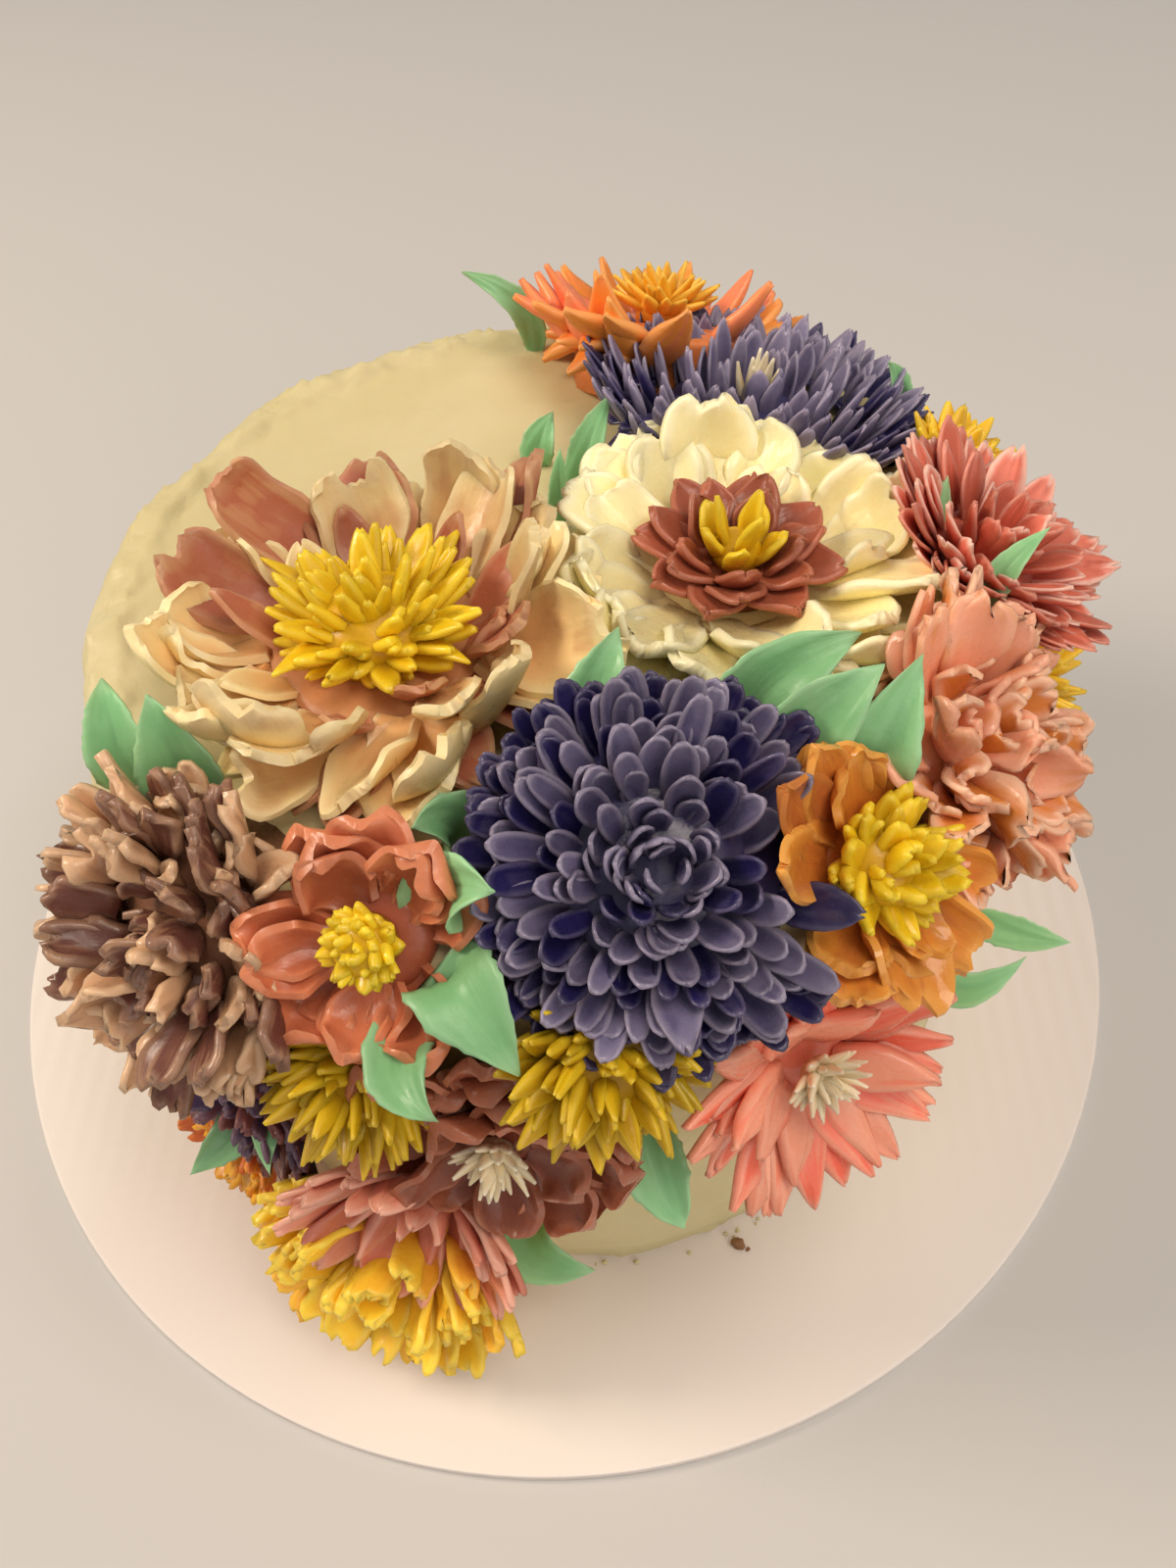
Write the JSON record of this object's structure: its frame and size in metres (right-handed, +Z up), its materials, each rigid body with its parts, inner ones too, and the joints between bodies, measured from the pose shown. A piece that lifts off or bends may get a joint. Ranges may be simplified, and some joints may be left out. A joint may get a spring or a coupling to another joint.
{
  "type": "round decorated cake",
  "caption": "Round frosted layer cake on a round white card, crowned on one side with piped butter cream flowers and leaves.",
  "frame": {"origin": "middle of the card's underside", "axes": "+Z up, -Y towards the front, where the flowers run down the side"},
  "size_m": [0.3048, 0.3048, 0.1634],
  "materials": {
    "white_card": "smooth white paper on corrugated card",
    "butter_frosting": "trowelled butter cream, soft sheen",
    "ivory_peach_icing": "piped butter cream, ivory streaked with peach",
    "cream_icing": "piped butter cream, pale yellow cream",
    "violet_icing": "piped butter cream, lavender grey streaked with navy",
    "brown_icing": "piped butter cream, tan streaked with dark brown",
    "amber_icing": "piped butter cream, amber orange",
    "orange_icing": "piped butter cream, bright orange",
    "coral_icing": "piped butter cream, coral streaked with white",
    "chestnut_icing": "piped butter cream, chestnut brown",
    "rust_icing": "piped butter cream, terracotta",
    "pink_icing": "piped butter cream, dusty pink",
    "dusk_icing": "piped butter cream, dark mauve",
    "yellow_icing": "piped butter cream, warm yellow",
    "pale_icing": "piped butter cream, pale cream",
    "leaf_icing": "piped butter cream, mint green"
  },
  "bodies": {
    "root": {"amber_rose": "amber_icing", "amber_rose_heart": "yellow_icing", "brown_mum": "brown_icing", "brown_rose": "chestnut_icing", "brown_rose_heart": "pale_icing", "cake": "butter_frosting", "card": "white_card", "coral_back": "coral_icing", "coral_front": "coral_icing", "coral_front_heart": "pale_icing", "cream_dahlia": "cream_icing", "cream_dahlia_heart": "yellow_icing", "cream_dahlia_ring": "rust_icing", "dark_low": "dusk_icing", "leaf_01": "leaf_icing", "leaf_02": "leaf_icing", "leaf_03": "leaf_icing", "leaf_04": "leaf_icing", "leaf_05": "leaf_icing", "leaf_06": "leaf_icing", "leaf_07": "leaf_icing", "leaf_08": "leaf_icing", "leaf_09": "leaf_icing", "leaf_10": "leaf_icing", "leaf_11": "leaf_icing", "leaf_12": "leaf_icing", "leaf_13": "leaf_icing", "leaf_14": "leaf_icing", "leaf_15": "leaf_icing", "leaf_16": "leaf_icing", "leaf_17": "leaf_icing", "leaf_18": "leaf_icing", "leaf_19": "leaf_icing", "leaf_20": "leaf_icing", "leaf_21": "leaf_icing", "leaf_22": "leaf_icing", "leaf_23": "leaf_icing", "leaf_24": "leaf_icing", "leaf_25": "leaf_icing", "leaf_26": "leaf_icing", "orange_back": "orange_icing", "orange_back_heart": "yellow_icing", "orange_low": "orange_icing", "orange_mum": "amber_icing", "peach_dahlia": "ivory_peach_icing", "peach_dahlia_heart": "yellow_icing", "pink_low": "pink_icing", "rust_rose": "rust_icing", "rust_rose_heart": "yellow_icing", "violet_back": "violet_icing", "violet_main": "violet_icing", "yellow_back": "yellow_icing", "yellow_left": "yellow_icing", "yellow_low": "yellow_icing", "yellow_mum_left": "yellow_icing", "yellow_mum_right": "yellow_icing", "yellow_right": "yellow_icing"}
  },
  "joints": []
}
